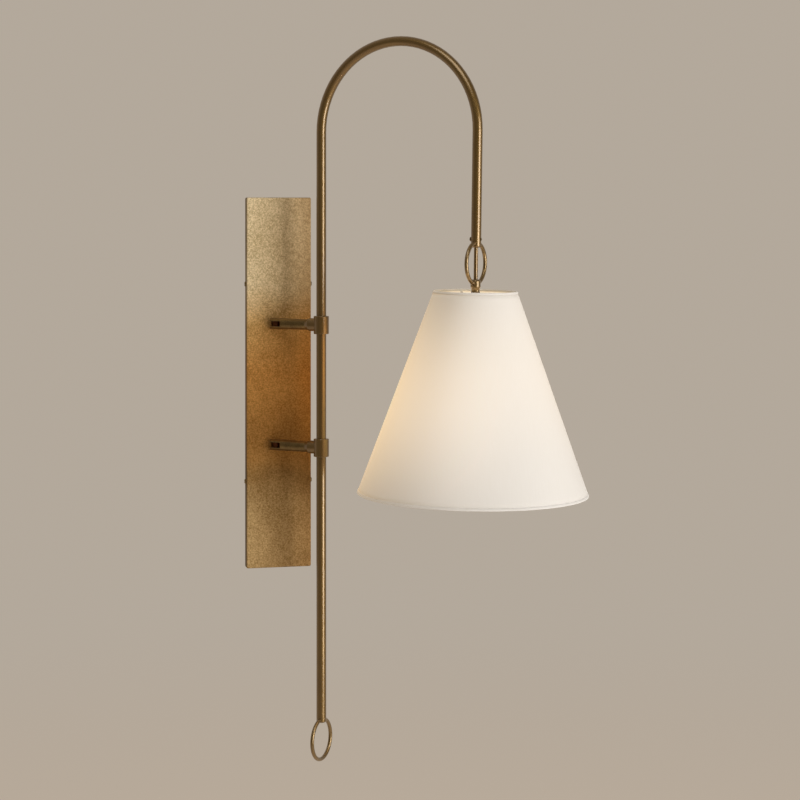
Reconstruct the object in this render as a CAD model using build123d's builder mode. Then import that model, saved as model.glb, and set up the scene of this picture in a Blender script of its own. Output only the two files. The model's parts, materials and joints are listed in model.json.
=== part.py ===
from build123d import *
import math
import os

# A swing arm wall lamp in millimetres. The origin is the centre of the backplate's back face,
# on the wall. X runs along the wall, Y goes into the wall and Z is up.
# At rest both arms and the cane above them stand at one angle to the wall.

# Backplate: a shallow pressed tray
plate_width = 81.0
plate_height = 460.0
plate_depth = 12.0
plate_sheet = 1.5
plate_corner = 2.0
plate_inner_corner = 0.6
plate_edge = 1.1

# Wall strap inside the tray, with bent tabs that take the side screws
strap_width = 40.0
strap_length = 300.0
strap_sheet = 2.0
strap_corner = 4.0
strap_bend = 1.2
tab_height = 26.0
tab_gap = 0.3
tab_setback = 2.0
box_slot_spacing = 88.9
box_slot_length = 14.0
box_slot_radius = 2.4
wire_hole_radius = 14.0

# Round head screws through the tray's sides
side_screw_spacing = 245.0
side_screw_radius = 1.9
side_screw_length = 6.5
side_head_radius = 3.7
side_head_height = 2.1
screw_slot_width = 0.9
screw_slot_depth = 0.8
thread_gap = 0.05
through_gap = 0.3

# Earth screw on the strap
earth_place = -66.0
earth_radius = 1.9
earth_length = 2.0
earth_head_radius = 3.6
earth_head_height = 2.4

# Hinge lugs: a tongue on the plate for each arm
arm_spacing = 150.0
arm_drop = 1.2
hinge_offset = 4.5
hinge_reach = 9.5
tongue_radius = 4.0
tongue_thickness = 6.2
boss_radius = 5.2
boss_height = 0.5
stud_radius = 3.0
stud_length = 8.6
washer_radius = 6.5
washer_sheet = 0.8
nut_width = 10.0
nut_height = 3.4

# Arms: a turned, slightly tapered bar with a forked end and a spigot
arm_angle = 42.0
arm_reach = 64.7
fork_radius = 8.6
fork_slot = 6.6
fork_floor = 9.0
arm_base_radius = 6.85
arm_end_radius = 6.35
spigot_radius = 4.2
spigot_length = 7.0
pin_radius = 1.6
pin_inset = 0.5
pin_fit = 0.02

# Barrels: a sleeve on the cane with a collar for the arm's spigot
barrel_radius = 9.35
barrel_height = 22.0
barrel_edge = 0.9
collar_radius = 8.0
collar_length = 11.3
collar_flare = 4.6
running_fit = 0.06
grub_radius = 1.5
grub_tip_radius = 1.1
grub_tip_length = 0.9
grub_inset = 0.4
groove_depth = 0.5
groove_height = 3.0
groove_gap = 0.2

# Cane: one bent tube, a long rod, an arch and a short leg that leans in a little
tube_radius = 6.0
tube_wall = 1.2
arch_height = 309.5
arch_radius = 106.95
leg_lean = 0.86
leg_length = 123.7

# Tips and rings
tip_spigot_length = 9.0
tip_nose = 2.4
tip_floor = 1.2
rod_tip_overhang = 1.3
leg_tip_overhang = 3.4
tip_shoulder = 6.0
rod_length = 709.6
ring_radius = 24.2
ring_wire_radius = 2.35
finger_ring_turn = -3.8
wire_tube_radius = 2.4
wire_tube_bore = 1.5
wire_tube_saddle = 1.2
ring_screw_radius = 1.5
ring_screw_head_radius = 2.7
ring_screw_head = 1.7
ring_screw_end = 0.7
ring_screw_gap = 0.2
seat_gap = 0.05

# Hub and shade holder, measured down the leg's line
hub_overhang = 3.0
hub_head_radius = 6.0
hub_head_length = 8.6
hub_waist_radius = 5.1
hub_waist_drop = 2.4
hub_flare_radius = 15.0
hub_flare_drop = 12.0
hub_rim = 1.6
hub_bore = 3.4
nipple_radius = 4.8
nipple_bore = 3.4
nipple_length = 13.2
nipple_depth = 8.0

# Lampholder and bulb
cap_nut_width = 14.0
cap_nut_height = 2.4
cap_radius = 17.0
cap_height = 13.0
cap_edge = 3.0
cap_sheet = 1.0
holder_radius = 15.6
holder_sheet = 0.8
holder_length = 46.0
holder_lap = 8.0
holder_bead = 0.8
liner_wall = 1.3
liner_floor = 7.0
bulb_cap_radius = 13.0
bulb_cap_length = 24.0
bulb_thread_pitch = 3.6
bulb_thread_depth = 0.7
bulb_contact_radius = 4.5
bulb_contact_height = 2.0
bulb_radius = 30.0
bulb_neck_radius = 12.4
bulb_length = 83.0
bulb_neck_length = 5.5
bulb_wall = 0.9

# Shade: a stiff cloth cone with folded hems on a top ring and a bottom ring
shade_drop = 188.6
shade_height = 237.8
shade_top_radius = 49.5
shade_bottom_radius = 136.1
shade_wall = 0.8
hem_thickness = 0.45
hem_height = 3.0
hem_inside = 3.2
hem_gap = 0.05
frame_wire_radius = 1.2
spoke_disc_radius = 19.5
spoke_disc_sheet = 1.4
spoke_count = 3
spoke_turn = 20.0

# One overrun serves all cuts
cut_over = 1.0


# Places worked out from the sizes above
plate_face = -plate_depth
hinge_x = -hinge_offset
hinge_y = plate_face - hinge_reach
reach_cos = math.cos(math.radians(arm_angle))
reach_sin = math.sin(math.radians(arm_angle))
reach_dir = Vector(reach_cos, -reach_sin, 0)
side_dir = Vector(-reach_sin, -reach_cos, 0)
rod_x = hinge_x + arm_reach * reach_cos
rod_y = hinge_y - arm_reach * reach_sin
arm_heights = {"upper": arm_spacing / 2 - arm_drop, "lower": -arm_spacing / 2 - arm_drop}

# The cane's own plane: across is along the arms' direction from the rod, and up is up
cane_plane = Plane(origin=(rod_x, rod_y, 0), x_dir=reach_dir, z_dir=side_dir)
rod_axis = Axis((rod_x, rod_y, 0), (0, 0, 1))

# The leg's line starts at the arch's end. In its plane, across is from the leg and up is up it
lean_cos = math.cos(math.radians(leg_lean))
lean_sin = math.sin(math.radians(leg_lean))
leg_start = cane_plane.from_local_coords(
    (arch_radius + arch_radius * lean_cos, arch_height - arch_radius * lean_sin, 0)
)
leg_up = reach_dir * lean_sin + Vector(0, 0, lean_cos)
leg_across = reach_dir * lean_cos - Vector(0, 0, lean_sin)
leg_plane = Plane(origin=leg_start, x_dir=leg_across, z_dir=side_dir)
leg_axis = Axis(leg_start, leg_up)


# Plane square to the leg's line, a drop below the arch's end
def leg_level(drop):
    return Plane(origin=leg_start - leg_up * drop, x_dir=leg_across, z_dir=leg_up)


os.makedirs("parts", exist_ok=True)

# Backplate
with BuildPart() as backplate:
    with BuildSketch(Plane.XZ):
        RectangleRounded(plate_width, plate_height, plate_corner)
    extrude(amount=plate_depth)
    fillet(backplate.faces().sort_by(Axis.Y)[0].edges(), plate_edge)
    with BuildSketch(Plane.XZ):
        RectangleRounded(plate_width - 2 * plate_sheet, plate_height - 2 * plate_sheet, plate_inner_corner)
    extrude(amount=plate_depth - plate_sheet, mode=Mode.SUBTRACT)
    with BuildSketch(Plane.XZ):
        with Locations([(hinge_x, height) for height in arm_heights.values()]):
            Circle(stud_radius + through_gap)
    extrude(amount=plate_depth + cut_over, mode=Mode.SUBTRACT)
    with BuildSketch(Plane.YZ):
        with Locations((plate_face / 2, side_screw_spacing / 2), (plate_face / 2, -side_screw_spacing / 2)):
            Circle(side_screw_radius + through_gap)
    extrude(amount=plate_width, both=True, mode=Mode.SUBTRACT)
backplate.part.label = "backplate"
export_step(backplate.part, "parts/backplate.step")

# Wall strap
tab_outside = plate_width / 2 - plate_sheet - tab_gap
with BuildPart() as wall_strap:
    with BuildSketch(Plane.XZ):
        RectangleRounded(strap_width, strap_length, strap_corner)
        with Locations((0, side_screw_spacing / 2), (0, -side_screw_spacing / 2)):
            Rectangle(2 * tab_outside, tab_height)
    extrude(amount=strap_sheet)
    with BuildSketch(Plane.XZ.offset(strap_sheet)):
        for side in (1, -1):
            with Locations(
                (side * (tab_outside - strap_sheet / 2), side_screw_spacing / 2),
                (side * (tab_outside - strap_sheet / 2), -side_screw_spacing / 2),
            ):
                Rectangle(strap_sheet, tab_height)
    extrude(amount=plate_depth - plate_sheet - strap_sheet - tab_setback)
    bends = wall_strap.edges().filter_by(Axis.Z).group_by(Axis.Y)[-1]
    fillet(bends.group_by(Axis.X)[0] + bends.group_by(Axis.X)[-1], strap_bend)
    with BuildSketch(Plane.XZ):
        with Locations((0, box_slot_spacing / 2), (0, -box_slot_spacing / 2)):
            SlotOverall(box_slot_length, 2 * box_slot_radius, rotation=90)
        Circle(wire_hole_radius)
        with Locations((0, earth_place)):
            Circle(earth_radius + thread_gap)
    extrude(amount=strap_sheet + cut_over, mode=Mode.SUBTRACT)
    with BuildSketch(Plane.YZ):
        with Locations((plate_face / 2, side_screw_spacing / 2), (plate_face / 2, -side_screw_spacing / 2)):
            Circle(side_screw_radius + thread_gap)
    extrude(amount=plate_width, both=True, mode=Mode.SUBTRACT)
wall_strap.part.label = "wall_strap"
export_step(wall_strap.part, "parts/wall_strap.step")

# Four side screws with domed, slotted heads
with BuildPart() as side_screws:
    for height in (side_screw_spacing / 2, -side_screw_spacing / 2):
        with BuildSketch(Plane.XY.offset(height)):
            with BuildLine():
                Polyline(
                    (plate_width / 2 + side_head_height, plate_face / 2),
                    (plate_width / 2 - side_screw_length, plate_face / 2),
                    (plate_width / 2 - side_screw_length, plate_face / 2 + side_screw_radius),
                    (plate_width / 2, plate_face / 2 + side_screw_radius),
                    (plate_width / 2, plate_face / 2 + side_head_radius),
                )
                EllipticalCenterArc(
                    (plate_width / 2, plate_face / 2), side_head_height, side_head_radius, arc_size=90
                )
            make_face()
        revolve(axis=Axis((0, plate_face / 2, height), (1, 0, 0)))
    mirror(about=Plane.YZ)
    for height in (side_screw_spacing / 2, -side_screw_spacing / 2):
        for side in (1, -1):
            outer = side * (plate_width / 2 + side_head_height - screw_slot_depth / 2 + cut_over / 2)
            with BuildSketch(Plane.XY.offset(height)):
                with Locations((outer, plate_face / 2)):
                    Rectangle(screw_slot_depth + cut_over, 2 * side_head_radius)
            extrude(amount=screw_slot_width / 2, both=True, mode=Mode.SUBTRACT)
side_screws.part.label = "side_screws"
export_step(side_screws.part, "parts/side_screws.step")

# Earth screw
with BuildPart() as earth_screw:
    with BuildSketch(Plane.XZ.offset(strap_sheet - earth_length)):
        with Locations((0, earth_place)):
            Circle(earth_radius)
    extrude(amount=earth_length)
    with BuildSketch(Plane.XZ.offset(strap_sheet)):
        with Locations((0, earth_place)):
            RegularPolygon(earth_head_radius, 6)
    extrude(amount=earth_head_height)
earth_screw.part.label = "earth_screw"
export_step(earth_screw.part, "parts/earth_screw.step")

# Each arm with its lug, pin, barrel and fixings
slot_over = fork_radius + cut_over
collar_start = arm_reach - barrel_radius - collar_length
spigot_end = collar_start + spigot_length
for level, height in arm_heights.items():
    hinge_level = Plane(origin=(hinge_x, hinge_y, height), x_dir=reach_dir, z_dir=(0, 0, 1))
    arm_plane = Plane(origin=(hinge_x, hinge_y, height), x_dir=reach_dir, z_dir=side_dir)
    arm_axis = Axis((hinge_x, hinge_y, height), reach_dir)
    rod_level = Plane(origin=(rod_x, rod_y, height), x_dir=reach_dir, z_dir=(0, 0, 1))

    # Tongue on a boss, with a stud through the plate
    with BuildPart() as hinge_lug:
        with BuildSketch(Plane(origin=(hinge_x, hinge_y, height), z_dir=(0, 0, 1))):
            Circle(tongue_radius)
            with Locations((0, hinge_reach / 2)):
                Rectangle(2 * tongue_radius, hinge_reach)
            Circle(pin_radius + running_fit, mode=Mode.SUBTRACT)
        extrude(amount=tongue_thickness / 2, both=True)
        with BuildSketch(Plane.XZ.offset(plate_depth)):
            with Locations((hinge_x, height)):
                Circle(boss_radius)
        extrude(amount=boss_height)
        with BuildSketch(Plane.XZ.offset(plate_depth)):
            with Locations((hinge_x, height)):
                Circle(stud_radius)
        extrude(amount=-stud_length)
    hinge_lug.part.label = f"hinge_lug_{level}"
    export_step(hinge_lug.part, f"parts/hinge_lug_{level}.step")

    # Washer and nut behind the plate
    washer_back = plate_depth - plate_sheet - washer_sheet
    with BuildPart() as lug_washer:
        with BuildSketch(Plane.XZ.offset(washer_back)):
            with Locations((hinge_x, height)):
                Circle(washer_radius)
                Circle(stud_radius + through_gap, mode=Mode.SUBTRACT)
        extrude(amount=washer_sheet)
    lug_washer.part.label = f"lug_washer_{level}"
    export_step(lug_washer.part, f"parts/lug_washer_{level}.step")

    with BuildPart() as lug_nut:
        with BuildSketch(Plane.XZ.offset(washer_back - nut_height)):
            with Locations((hinge_x, height)):
                RegularPolygon(nut_width / 2, 6, major_radius=False)
                Circle(stud_radius + thread_gap, mode=Mode.SUBTRACT)
        extrude(amount=nut_height)
    lug_nut.part.label = f"lug_nut_{level}"
    export_step(lug_nut.part, f"parts/lug_nut_{level}.step")

    # Arm: turned bar, ears rounded about the pin, slot for the tongue
    with BuildPart() as arm:
        with BuildSketch(arm_plane):
            Polygon(
                (-fork_radius, 0),
                (-fork_radius, arm_base_radius),
                (fork_floor, arm_base_radius),
                (collar_start, arm_end_radius),
                (collar_start, spigot_radius),
                (spigot_end, spigot_radius),
                (spigot_end, 0),
                align=None,
            )
        revolve(axis=arm_axis)
        with BuildSketch(hinge_level):
            with Locations((-slot_over / 2, 0)):
                Rectangle(slot_over, 2 * slot_over)
            Circle(fork_radius, mode=Mode.SUBTRACT)
        extrude(amount=arm_base_radius + cut_over, both=True, mode=Mode.SUBTRACT)
        with BuildSketch(arm_plane):
            with Locations(((fork_floor - slot_over) / 2, 0)):
                Rectangle(fork_floor + slot_over, fork_slot)
        extrude(amount=arm_base_radius + cut_over, both=True, mode=Mode.SUBTRACT)
        with BuildSketch(hinge_level):
            Circle(pin_radius + pin_fit)
        extrude(amount=arm_base_radius + cut_over, both=True, mode=Mode.SUBTRACT)
    arm.part.label = f"arm_{level}"
    export_step(arm.part, f"parts/arm_{level}.step")

    # Hinge pin, a little below the ears' outside
    pin_reach = arm_base_radius - pin_inset
    with BuildPart() as hinge_pin:
        with BuildSketch(hinge_level):
            Circle(pin_radius)
        extrude(amount=pin_reach, both=True)
    hinge_pin.part.label = f"hinge_pin_{level}"
    export_step(hinge_pin.part, f"parts/hinge_pin_{level}.step")

    # Barrel with its collar
    with BuildPart() as barrel:
        with BuildSketch(rod_level):
            Circle(barrel_radius)
        extrude(amount=barrel_height / 2, both=True)
        fillet(barrel.edges().filter_by(GeomType.CIRCLE), barrel_edge)
        with BuildSketch(arm_plane):
            Polygon(
                (collar_start, 0),
                (collar_start, arm_end_radius),
                (collar_start + collar_flare, collar_radius),
                (arm_reach, collar_radius),
                (arm_reach, 0),
                align=None,
            )
        revolve(axis=arm_axis)
        with BuildSketch(rod_level):
            Circle(tube_radius + running_fit)
        extrude(amount=barrel_height, both=True, mode=Mode.SUBTRACT)
        with BuildSketch(Plane(origin=arm_plane.from_local_coords((collar_start, 0, 0)), z_dir=reach_dir)):
            Circle(spigot_radius + thread_gap)
        extrude(amount=spigot_length + thread_gap, mode=Mode.SUBTRACT)
        with BuildSketch(Plane(origin=(rod_x, rod_y, height), z_dir=-side_dir)):
            Circle(grub_radius + thread_gap)
        extrude(amount=barrel_radius + cut_over, mode=Mode.SUBTRACT)
    barrel.part.label = f"barrel_{level}"
    export_step(barrel.part, f"parts/barrel_{level}.step")

    # Grub screw at the back of the barrel: its tip keeps the rod's groove level
    grub_start = tube_radius - groove_depth + groove_gap
    with BuildPart() as grub_screw:
        with BuildSketch(Plane(origin=(rod_x, rod_y, height) + side_dir * -grub_start, z_dir=-side_dir)):
            Circle(grub_tip_radius)
        extrude(amount=grub_tip_length)
        grub_thread = barrel_radius - grub_inset - grub_start - grub_tip_length
        with BuildSketch(
            Plane(
                origin=(rod_x, rod_y, height) + side_dir * -(grub_start + grub_tip_length),
                z_dir=-side_dir,
            )
        ):
            Circle(grub_radius)
        extrude(amount=grub_thread)
        grub_face = grub_start + grub_tip_length + grub_thread
        with BuildSketch(Plane(origin=(rod_x, rod_y, height) + side_dir * -grub_face, z_dir=-side_dir)):
            Rectangle(screw_slot_width, 2 * grub_radius)
        extrude(amount=-screw_slot_depth, mode=Mode.SUBTRACT)
    grub_screw.part.label = f"grub_screw_{level}"
    export_step(grub_screw.part, f"parts/grub_screw_{level}.step")

# Cane: rod, arch and leg in one tube
rod_end = arch_height - rod_length
with BuildPart() as cane:
    with BuildLine(cane_plane) as cane_line:
        rod_line = Line((0, rod_end), (0, arch_height))
        arch_line = CenterArc((arch_radius, arch_height), arch_radius, 180, -180 - leg_lean)
        Line(arch_line @ 1, arch_line @ 1 + (arch_line % 1) * leg_length)
    with BuildSketch(Plane(origin=(rod_x, rod_y, rod_end), x_dir=reach_dir, z_dir=(0, 0, 1))):
        Circle(tube_radius)
        Circle(tube_radius - tube_wall, mode=Mode.SUBTRACT)
    sweep()
    with BuildSketch(cane_plane):
        with Locations([(tube_radius, height) for height in arm_heights.values()]):
            Rectangle(2 * groove_depth, groove_height)
    revolve(axis=rod_axis, mode=Mode.SUBTRACT)
cane.part.label = "cane"
export_step(cane.part, "parts/cane.step")

# Rod's closed tip and the finger ring through it
rod_plane = Plane(origin=(rod_x, rod_y, rod_end), x_dir=reach_dir, z_dir=side_dir)
rod_tip_length = tip_shoulder + 2 * ring_wire_radius + rod_tip_overhang
ring_level = tip_shoulder + ring_wire_radius + ring_radius
ring_facing = Rotation(0, 90, 0)
finger_ring_place = (
    Location((rod_x, rod_y, rod_end - ring_level))
    * Rotation(0, 0, -arm_angle - finger_ring_turn)
    * ring_facing
)
spigot_gap_radius = tube_radius - tube_wall - seat_gap
with BuildPart() as rod_tip:
    with BuildSketch(rod_plane):
        with BuildLine():
            Polyline(
                (tube_radius - tip_nose, -rod_tip_length),
                (0, -rod_tip_length),
                (0, tip_spigot_length),
                (spigot_gap_radius, tip_spigot_length),
                (spigot_gap_radius, 0),
                (tube_radius, 0),
                (tube_radius, tip_nose - rod_tip_length),
            )
            CenterArc((tube_radius - tip_nose, tip_nose - rod_tip_length), tip_nose, 270, 90)
        make_face()
    revolve(axis=rod_axis)
    with Locations(finger_ring_place):
        Torus(ring_radius, ring_wire_radius + seat_gap, mode=Mode.SUBTRACT)
rod_tip.part.label = "rod_tip"
export_step(rod_tip.part, "parts/rod_tip.step")

with BuildPart() as finger_ring:
    with Locations(finger_ring_place):
        Torus(ring_radius, ring_wire_radius)
finger_ring.part.label = "finger_ring"
export_step(finger_ring.part, "parts/finger_ring.step")

# Leg's hollow tip, with the upper ring through it
ring_drop = leg_length + ring_level
upper_ring_place = leg_level(ring_drop).location * Rotation(0, 90, 0)
tip_bore = tube_radius - tube_wall - tip_floor
ring_screw_drop = ring_drop - ring_radius - ring_wire_radius - ring_screw_gap - ring_screw_radius


# Plane square to the ring screw's line, a reach out from the leg's line, facing the rod
def ring_screw_level(reach):
    return Plane(origin=leg_start - leg_up * ring_screw_drop - leg_across * reach, z_dir=-leg_across)


leg_tip_length = tip_shoulder + 2 * ring_wire_radius + leg_tip_overhang
with BuildPart() as leg_tip:
    with BuildSketch(leg_plane):
        with BuildLine():
            Polyline(
                (tube_radius - tip_nose, -leg_length - leg_tip_length),
                (0, -leg_length - leg_tip_length),
                (0, tip_spigot_length - leg_length),
                (spigot_gap_radius, tip_spigot_length - leg_length),
                (spigot_gap_radius, -leg_length),
                (tube_radius, -leg_length),
                (tube_radius, tip_nose - leg_length - leg_tip_length),
            )
            CenterArc((tube_radius - tip_nose, tip_nose - leg_length - leg_tip_length), tip_nose, 270, 90)
        make_face()
    revolve(axis=leg_axis)
    with BuildSketch(leg_level(leg_length - tip_spigot_length)):
        Circle(tip_bore)
    extrude(amount=tip_floor - leg_tip_length - tip_spigot_length, mode=Mode.SUBTRACT)
    with BuildSketch(leg_level(leg_length)):
        Circle(wire_tube_radius + seat_gap)
    extrude(amount=-leg_tip_length - cut_over, mode=Mode.SUBTRACT)
    with BuildSketch(ring_screw_level(0)):
        Circle(ring_screw_radius + thread_gap)
    extrude(amount=2 * tube_radius, both=True, mode=Mode.SUBTRACT)
    with Locations(upper_ring_place):
        Torus(ring_radius, ring_wire_radius + seat_gap, mode=Mode.SUBTRACT)
leg_tip.part.label = "leg_tip"
export_step(leg_tip.part, "parts/leg_tip.step")

# Cross screw above the ring, its domed head towards the rod
with BuildPart() as ring_screw:
    with BuildSketch(ring_screw_level(-tube_radius - ring_screw_end)):
        Circle(ring_screw_radius)
    extrude(amount=2 * tube_radius + ring_screw_end)
    with BuildSketch(ring_screw_level(tube_radius)):
        Circle(ring_screw_head_radius)
    extrude(amount=ring_screw_head)
    fillet(ring_screw.faces().sort_by(Axis(leg_start, -leg_across))[-1].edges(), ring_screw_head / 2)
ring_screw.part.label = "ring_screw"
export_step(ring_screw.part, "parts/ring_screw.step")

with BuildPart() as upper_ring:
    with Locations(upper_ring_place):
        Torus(ring_radius, ring_wire_radius)
upper_ring.part.label = "upper_ring"
export_step(upper_ring.part, "parts/upper_ring.step")

# Wire tube across the upper ring, its ends cut to the ring's round
wire_tube_reach = ring_radius - ring_wire_radius + wire_tube_saddle
wire_tube_start = ring_drop - wire_tube_reach
with BuildPart() as wire_tube:
    with BuildSketch(leg_level(wire_tube_start)):
        Circle(wire_tube_radius)
        Circle(wire_tube_bore, mode=Mode.SUBTRACT)
    extrude(amount=-2 * wire_tube_reach)
    with Locations(upper_ring_place):
        Torus(ring_radius, ring_wire_radius + seat_gap, mode=Mode.SUBTRACT)
wire_tube.part.label = "wire_tube"
export_step(wire_tube.part, "parts/wire_tube.step")

# Hub: a domed head on the ring, a waist, and a flare down to the shade holder
hub_top = ring_drop + ring_radius - ring_wire_radius - hub_overhang
hub_head_end = hub_top + hub_head_length
hub_waist = hub_head_end + hub_waist_drop
hub_base = hub_waist + hub_flare_drop + hub_rim
with BuildPart() as hub:
    with BuildSketch(leg_plane):
        with BuildLine():
            head_foot = (hub_head_radius, -hub_head_end)
            flare_foot = (hub_flare_radius, hub_rim - hub_base)
            Line((0, -hub_top), (hub_head_radius - tip_nose, -hub_top))
            CenterArc((hub_head_radius - tip_nose, -hub_top - tip_nose), tip_nose, 90, -90)
            Line((hub_head_radius, -hub_top - tip_nose), head_foot)
            Spline(head_foot, (hub_waist_radius, -hub_waist), flare_foot)
            Polyline(flare_foot, (hub_flare_radius, -hub_base), (0, -hub_base), (0, -hub_top))
        make_face()
    revolve(axis=leg_axis)
    with BuildSketch(leg_level(hub_base)):
        Circle(nipple_radius + thread_gap)
    extrude(amount=nipple_depth, mode=Mode.SUBTRACT)
    with BuildSketch(leg_level(hub_base)):
        Circle(hub_bore)
    extrude(amount=hub_base - hub_top - tip_floor, mode=Mode.SUBTRACT)
    with BuildSketch(leg_level(hub_base)):
        Circle(wire_tube_radius + seat_gap)
    extrude(amount=hub_base - hub_top + cut_over, mode=Mode.SUBTRACT)
    with Locations(upper_ring_place):
        Torus(ring_radius, ring_wire_radius + seat_gap, mode=Mode.SUBTRACT)
hub.part.label = "hub"
export_step(hub.part, "parts/hub.step")

# Threaded nipple that clamps the shade holder and the lampholder cap to the hub
nipple_start = hub_base - nipple_depth + thread_gap
with BuildPart() as nipple:
    with BuildSketch(leg_level(nipple_start)):
        Circle(nipple_radius)
        Circle(nipple_bore, mode=Mode.SUBTRACT)
    extrude(amount=-nipple_length)
nipple.part.label = "nipple"
export_step(nipple.part, "parts/nipple.step")

# Shade holder: a washer under the hub, three spokes and the shade's top ring
shade_slope = (shade_bottom_radius - shade_top_radius) / shade_height
wire_inset = hem_thickness + 2 * hem_gap + shade_wall + hem_thickness + frame_wire_radius + hem_gap
top_wire_drop = shade_drop + hem_thickness + hem_gap + frame_wire_radius
top_wire_radius = shade_top_radius - wire_inset
bottom_wire_drop = shade_drop + shade_height - hem_thickness - hem_gap - frame_wire_radius
bottom_wire_radius = shade_bottom_radius - wire_inset - shade_slope * 2 * frame_wire_radius
with BuildPart() as shade_holder:
    with BuildSketch(leg_level(hub_base)):
        Circle(spoke_disc_radius)
        Circle(nipple_radius + seat_gap, mode=Mode.SUBTRACT)
    extrude(amount=-spoke_disc_sheet)
    spoke_foot = hub_base + spoke_disc_sheet / 2
    with Locations(leg_level(top_wire_drop).location):
        Torus(top_wire_radius, frame_wire_radius)
    for turn in range(spoke_count):
        across = leg_across.rotate(leg_axis, spoke_turn + turn * 360 / spoke_count)
        inner = leg_start - leg_up * spoke_foot + across * (spoke_disc_radius - frame_wire_radius)
        outer = leg_start - leg_up * top_wire_drop + across * top_wire_radius
        with BuildSketch(Plane(origin=inner, z_dir=outer - inner)):
            Circle(frame_wire_radius)
        extrude(amount=(outer - inner).length)
shade_holder.part.label = "shade_holder"
export_step(shade_holder.part, "parts/shade_holder.step")

# Shade's bottom ring
with BuildPart() as bottom_ring:
    with Locations(leg_level(bottom_wire_drop).location):
        Torus(bottom_wire_radius, frame_wire_radius)
bottom_ring.part.label = "bottom_ring"
export_step(bottom_ring.part, "parts/bottom_ring.step")


# A place on the shade's side, inwards from its outside and down from its top edge
def shade_place(inset, down):
    return (shade_top_radius + shade_slope * down - inset, -shade_drop - down)


# Shade cloth on its stiff backing, one cone open at both ends
cloth_inset = hem_thickness + hem_gap
cloth_edge = hem_thickness + hem_gap
with BuildPart() as shade:
    with BuildSketch(leg_plane):
        Polygon(
            shade_place(cloth_inset, cloth_edge),
            shade_place(cloth_inset, shade_height - cloth_edge),
            shade_place(cloth_inset + shade_wall, shade_height - cloth_edge),
            shade_place(cloth_inset + shade_wall, cloth_edge),
            align=None,
        )
    revolve(axis=leg_axis)
shade.part.label = "shade"
export_step(shade.part, "parts/shade.step")

# Folded hems over the cloth's edges
fold_inset = cloth_inset + shade_wall + hem_gap
hem_edges = {"top": (0, 1), "bottom": (shade_height, -1)}
for end, (edge, way) in hem_edges.items():
    with BuildPart() as hem:
        with BuildSketch(leg_plane):
            Polygon(
                shade_place(0, edge),
                shade_place(0, edge + way * hem_height),
                shade_place(hem_thickness, edge + way * hem_height),
                shade_place(hem_thickness, edge + way * hem_thickness),
                shade_place(fold_inset, edge + way * hem_thickness),
                shade_place(fold_inset, edge + way * hem_inside),
                shade_place(fold_inset + hem_thickness, edge + way * hem_inside),
                shade_place(fold_inset + hem_thickness, edge),
                align=None,
            )
        revolve(axis=leg_axis)
    hem.part.label = f"{end}_hem"
    export_step(hem.part, f"parts/{end}_hem.step")

# Lampholder cap under the shade holder
cap_top = hub_base + spoke_disc_sheet
cap_bottom = cap_top + cap_height
with BuildPart() as holder_cap:
    with BuildSketch(leg_plane):
        Polygon(
            (0, -cap_top),
            (cap_radius - cap_edge, -cap_top),
            (cap_radius, -cap_top - cap_edge),
            (cap_radius, -cap_bottom),
            (cap_radius - cap_sheet, -cap_bottom),
            (cap_radius - cap_sheet, -cap_top - cap_edge - cap_sheet / 2),
            (cap_radius - cap_edge - cap_sheet / 2, -cap_top - cap_sheet),
            (0, -cap_top - cap_sheet),
            align=None,
        )
    revolve(axis=leg_axis)
    with BuildSketch(leg_level(cap_top)):
        Circle(nipple_radius + seat_gap)
    extrude(amount=-cap_sheet - cut_over, mode=Mode.SUBTRACT)
holder_cap.part.label = "holder_cap"
export_step(holder_cap.part, "parts/holder_cap.step")

# Nut inside the cap, on the nipple
cap_nut_top = cap_top + cap_sheet
with BuildPart() as cap_nut:
    with BuildSketch(leg_level(cap_nut_top)):
        RegularPolygon(cap_nut_width / 2, 6, major_radius=False)
        Circle(nipple_radius + thread_gap, mode=Mode.SUBTRACT)
    extrude(amount=-cap_nut_height)
cap_nut.part.label = "cap_nut"
export_step(cap_nut.part, "parts/cap_nut.step")

# Lampholder shell, lapped into the cap, with a rolled bead at its mouth
shell_top = cap_bottom - holder_lap
shell_bottom = shell_top + holder_length
with BuildPart() as holder_shell:
    with BuildSketch(leg_plane):
        with BuildLine():
            Polyline(
                (holder_radius - holder_sheet, -shell_bottom + holder_bead),
                (holder_radius - holder_sheet, -shell_top),
                (holder_radius, -shell_top),
                (holder_radius, -shell_bottom + 2 * holder_bead),
            )
            ThreePointArc(
                (holder_radius, -shell_bottom + 2 * holder_bead),
                (holder_radius + holder_bead, -shell_bottom + holder_bead),
                (holder_radius, -shell_bottom),
            )
            Polyline(
                (holder_radius, -shell_bottom),
                (holder_radius - holder_sheet, -shell_bottom),
                (holder_radius - holder_sheet, -shell_bottom + holder_bead),
            )
        make_face()
    revolve(axis=leg_axis)
holder_shell.part.label = "holder_shell"
export_step(holder_shell.part, "parts/holder_shell.step")

# Insulating liner with the contact floor
liner_radius = holder_radius - holder_sheet - seat_gap
liner_top = shell_top + thread_gap
with BuildPart() as holder_liner:
    with BuildSketch(leg_level(liner_top)):
        Circle(liner_radius)
    extrude(amount=-(shell_bottom - liner_top))
    with BuildSketch(leg_level(shell_bottom)):
        Circle(liner_radius - liner_wall)
    extrude(amount=shell_bottom - liner_top - liner_floor, mode=Mode.SUBTRACT)
holder_liner.part.label = "holder_liner"
export_step(holder_liner.part, "parts/holder_liner.step")

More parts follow.
